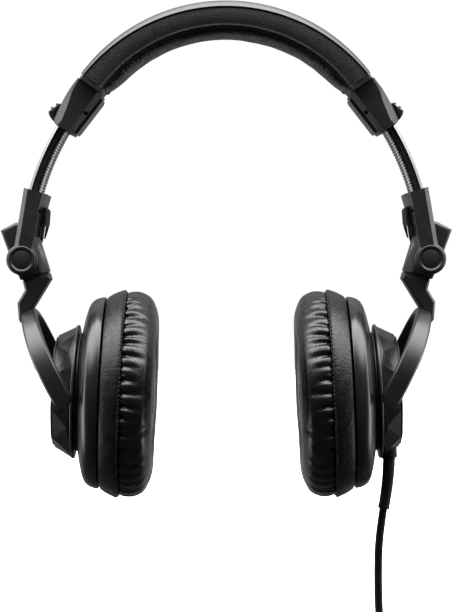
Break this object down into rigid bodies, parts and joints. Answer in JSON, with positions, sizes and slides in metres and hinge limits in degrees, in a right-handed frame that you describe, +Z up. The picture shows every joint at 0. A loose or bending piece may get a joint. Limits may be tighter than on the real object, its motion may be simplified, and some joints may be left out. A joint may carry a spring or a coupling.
{
  "type": "over ear headphones",
  "caption": "Over ear headphones with a padded headband, curved sliders, folding yokes, round padded cups and a cord from one cup.",
  "frame": {"origin": "middle of the headband pad's underside, where the wearer's crown touches", "axes": "+X from the left cup to the right cup (the cord's side), -Y the front, +Z up through the crown"},
  "size_m": [0.2162, 0.09, 0.3097],
  "materials": {
    "black_fabric": "finely grained wrap",
    "black_leatherette": "soft grained leatherette over foam",
    "black_rubber": "matt rubber",
    "driver_black": "moulded frame and film dome",
    "gloss_black": "polished",
    "matte_black": "fine matt, moulded",
    "satin_grey": "satin, dark grey",
    "speaker_cloth": "woven cloth",
    "steel": "brushed"
  },
  "bodies": {
    "headband": {"headband_cover": "gloss_black", "headband_pad": "black_leatherette", "headband_piping_front": "black_leatherette", "headband_piping_rear": "black_leatherette", "headband_spring": "steel", "headband_wrap": "black_fabric", "left_housing_inner_cover": "satin_grey", "left_slider_housing": "matte_black", "left_thumb_grip": "matte_black", "right_housing_inner_cover": "satin_grey", "right_slider_housing": "matte_black", "right_thumb_grip": "matte_black"},
    "left_slider": {"left_hinge_cap_front": "matte_black", "left_hinge_cap_rear": "matte_black", "left_hinge_pin": "steel", "left_hinge_sleeve": "matte_black", "left_sleeve_bumper": "black_rubber", "left_slider_arm": "satin_grey"},
    "left_knuckle": {"left_fold_knuckle": "satin_grey"},
    "left_yoke": {"left_pivot_pin_front": "steel", "left_pivot_pin_rear": "steel", "left_yoke_fork": "gloss_black", "left_yoke_neck": "matte_black"},
    "left_cup": {"left_back_shell": "satin_grey", "left_baffle": "matte_black", "left_cup_hub": "satin_grey", "left_driver": "driver_black", "left_ear_pad": "black_leatherette", "left_neck_ring": "matte_black", "left_outer_plate": "gloss_black", "left_pad_skirt": "black_leatherette", "left_speaker_cloth": "speaker_cloth"},
    "right_slider": {"right_hinge_cap_front": "matte_black", "right_hinge_cap_rear": "matte_black", "right_hinge_pin": "steel", "right_hinge_sleeve": "matte_black", "right_sleeve_bumper": "black_rubber", "right_slider_arm": "satin_grey"},
    "right_knuckle": {"right_fold_knuckle": "satin_grey"},
    "right_yoke": {"right_pivot_pin_front": "steel", "right_pivot_pin_rear": "steel", "right_yoke_fork": "gloss_black", "right_yoke_neck": "matte_black"},
    "right_cup": {"right_back_shell": "satin_grey", "right_baffle": "matte_black", "right_cup_hub": "satin_grey", "right_driver": "driver_black", "right_ear_pad": "black_leatherette", "right_neck_ring": "matte_black", "right_outer_plate": "gloss_black", "right_pad_skirt": "black_leatherette", "right_speaker_cloth": "speaker_cloth", "cable_gland": "black_rubber"},
    "right_cord": {"strain_relief": "black_rubber", "cord": "black_rubber", "cord_coil": "black_rubber", "coil_tie": "black_rubber", "plug_body": "matte_black", "plug_tip": "steel"}
  },
  "joints": [
    {"name": "left_extend", "type": "hinge", "parent": "headband", "child": "left_slider", "pos_m": [0.0273, 0, -0.0986], "axis": [0, 1, 0], "range_deg": [-2, 9.5]},
    {"name": "left_fold", "type": "hinge", "parent": "left_slider", "child": "left_knuckle", "pos_m": [-0.0879, 0, -0.0969], "axis": [0, 1, 0], "range_deg": [-80, 0]},
    {"name": "left_swivel", "type": "hinge", "parent": "left_knuckle", "child": "left_yoke", "pos_m": [-0.0827, 0, -0.1038], "axis": [-0.2957, 0, 0.9553], "range_deg": [0, 90]},
    {"name": "left_tilt", "type": "hinge", "parent": "left_yoke", "child": "left_cup", "pos_m": [-0.0693, 0, -0.156], "axis": [0, -1, 0], "range_deg": [-12, 12]},
    {"name": "right_extend", "type": "hinge", "parent": "headband", "child": "right_slider", "pos_m": [-0.0273, 0, -0.0986], "axis": [0, 1, 0], "range_deg": [-9.5, 2]},
    {"name": "right_fold", "type": "hinge", "parent": "right_slider", "child": "right_knuckle", "pos_m": [0.0879, 0, -0.0969], "axis": [0, 1, 0], "range_deg": [0, 80]},
    {"name": "right_swivel", "type": "hinge", "parent": "right_knuckle", "child": "right_yoke", "pos_m": [0.0827, 0, -0.1038], "axis": [0.2957, 0, 0.9553], "range_deg": [-90, 0]},
    {"name": "right_tilt", "type": "hinge", "parent": "right_yoke", "child": "right_cup", "pos_m": [0.0693, 0, -0.156], "axis": [0, -1, 0], "range_deg": [-12, 12]},
    {"name": "cord_hang", "type": "hinge", "parent": "right_cup", "child": "right_cord", "pos_m": [0.0705, 0, -0.1862], "axis": [0, 1, 0], "range_deg": [-80, 0]}
  ],
  "couplings": [
    {"joint": "cord_hang", "follows": "right_fold", "ratio": -1}
  ]
}
